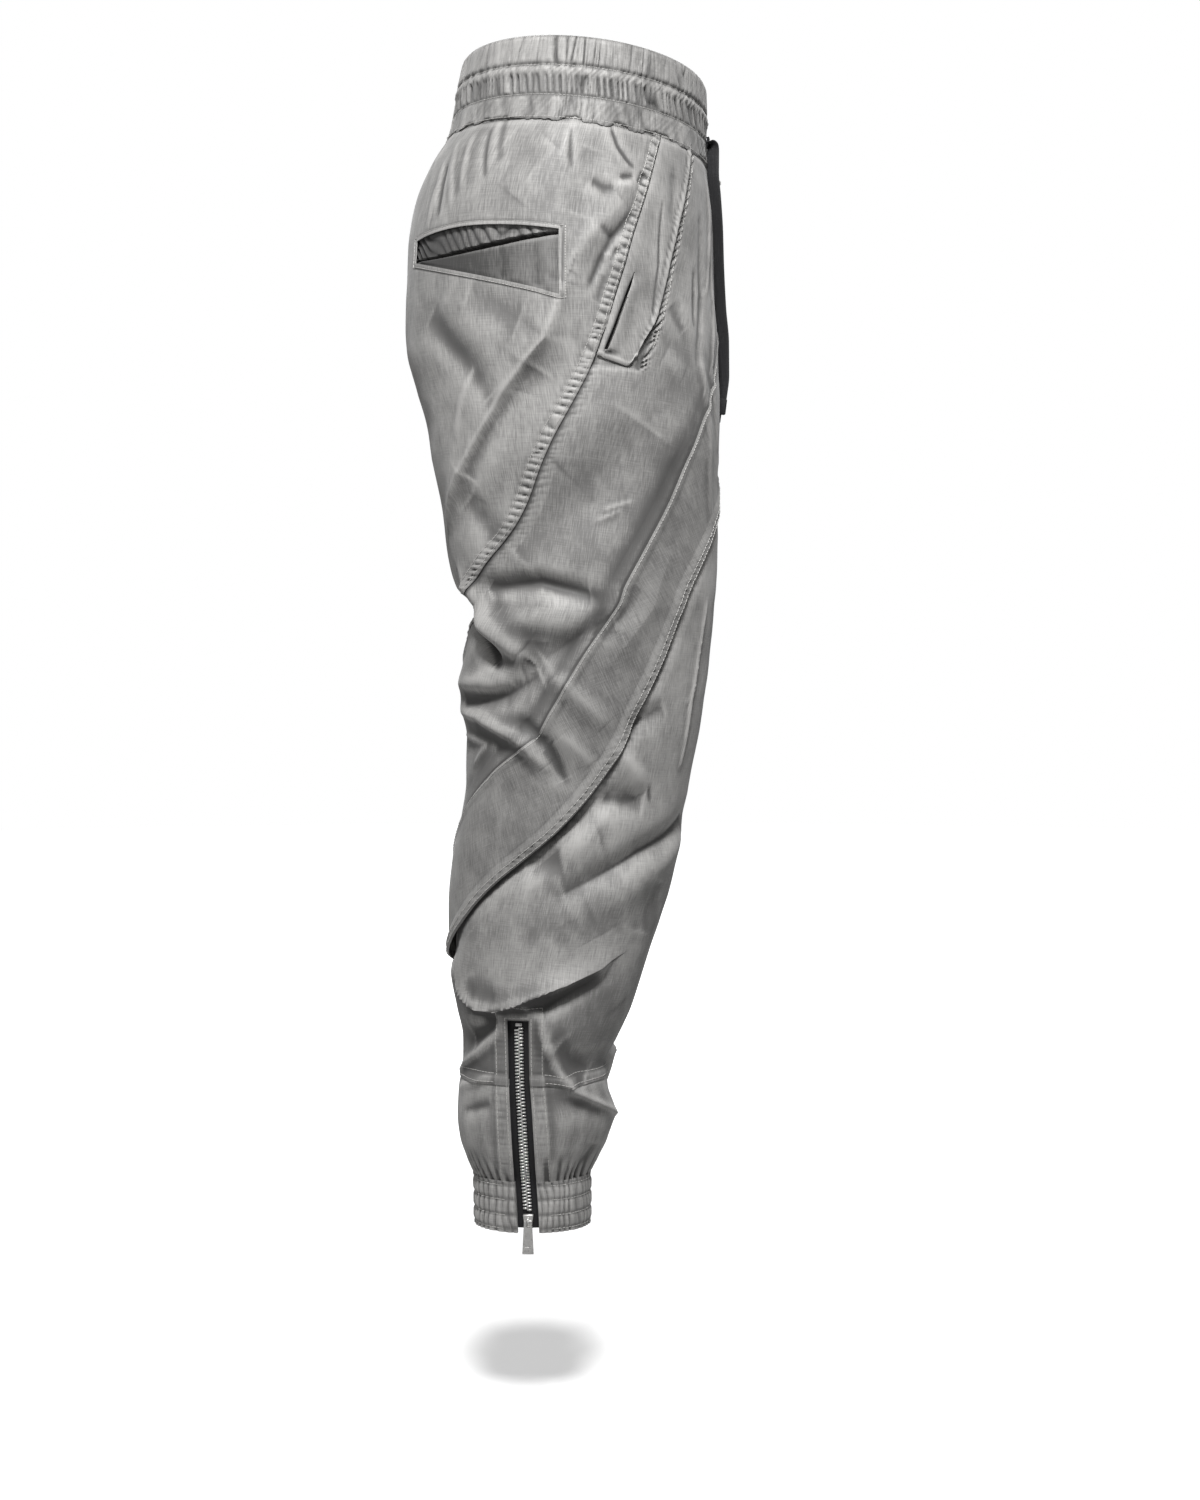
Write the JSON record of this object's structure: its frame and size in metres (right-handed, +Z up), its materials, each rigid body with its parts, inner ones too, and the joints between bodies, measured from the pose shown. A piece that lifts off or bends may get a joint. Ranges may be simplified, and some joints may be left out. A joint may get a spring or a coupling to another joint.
{
  "type": "trousers",
  "caption": "Tapered woven trousers in standing form: gathered waist with drawstring, seams that spiral round the legs, slanted pockets, gathered cuffs and zipped ankles.",
  "frame": {"origin": "middle of the waist opening, in the upper half of the waistband at the wearer's side", "axes": "+Z up; -Y is the garment's front; -X is the wearer's right"},
  "size_m": [0.3885, 0.2721, 0.9908],
  "materials": {
    "cloth": "slubbed light grey weave with a soft sheen",
    "pocket_cloth": "the same weave in shade",
    "zip_tape": "matt black tape",
    "drawstring": "matt black webbing",
    "zip_metal": "bright nickel, brushed",
    "eyelet_metal": "dark nickel"
  },
  "bodies": {
    "garment": {"fly_flap": "cloth", "fly_slider": "zip_metal", "fly_zip_tape": "zip_tape", "left_ankle_panel": "cloth", "left_ankle_slider": "zip_metal", "left_back_panel": "cloth", "left_back_pocket_bag": "pocket_cloth", "left_back_pocket_lip": "cloth", "left_cuff": "cloth", "left_drawstring": "drawstring", "left_drawstring_tip": "drawstring", "left_eyelet": "eyelet_metal", "left_front_pocket": "cloth", "left_lower_leg": "cloth", "left_side_panel": "cloth", "left_sweep_panel": "cloth", "left_zip_tape": "zip_tape", "right_ankle_panel": "cloth", "right_ankle_slider": "zip_metal", "right_back_panel": "cloth", "right_back_pocket_bag": "pocket_cloth", "right_back_pocket_lip": "cloth", "right_cuff": "cloth", "right_drawstring": "drawstring", "right_drawstring_tip": "drawstring", "right_eyelet": "eyelet_metal", "right_front_pocket": "cloth", "right_lower_leg": "cloth", "right_side_panel": "cloth", "right_sweep_panel": "cloth", "right_zip_tape": "zip_tape", "waistband": "cloth"},
    "fly_pull": {"fly_pull": "zip_metal"},
    "right_ankle_pull": {"right_ankle_pull": "zip_metal"},
    "left_ankle_pull": {"left_ankle_pull": "zip_metal"}
  },
  "joints": [
    {"name": "fly_pull_swing", "type": "hinge", "parent": "garment", "child": "fly_pull", "pos_m": [-0.017, -0.10289, -0.0631], "axis": [-1, 0, 0], "range_deg": [0, 150]},
    {"name": "right_ankle_pull_swing", "type": "hinge", "parent": "garment", "child": "right_ankle_pull", "pos_m": [-0.17263, 0.05774, -0.925], "axis": [0.0378, 0.9993, 0], "range_deg": [0, 160]},
    {"name": "left_ankle_pull_swing", "type": "hinge", "parent": "garment", "child": "left_ankle_pull", "pos_m": [0.17263, 0.05774, -0.925], "axis": [0.0378, -0.9993, 0], "range_deg": [0, 160]}
  ]
}
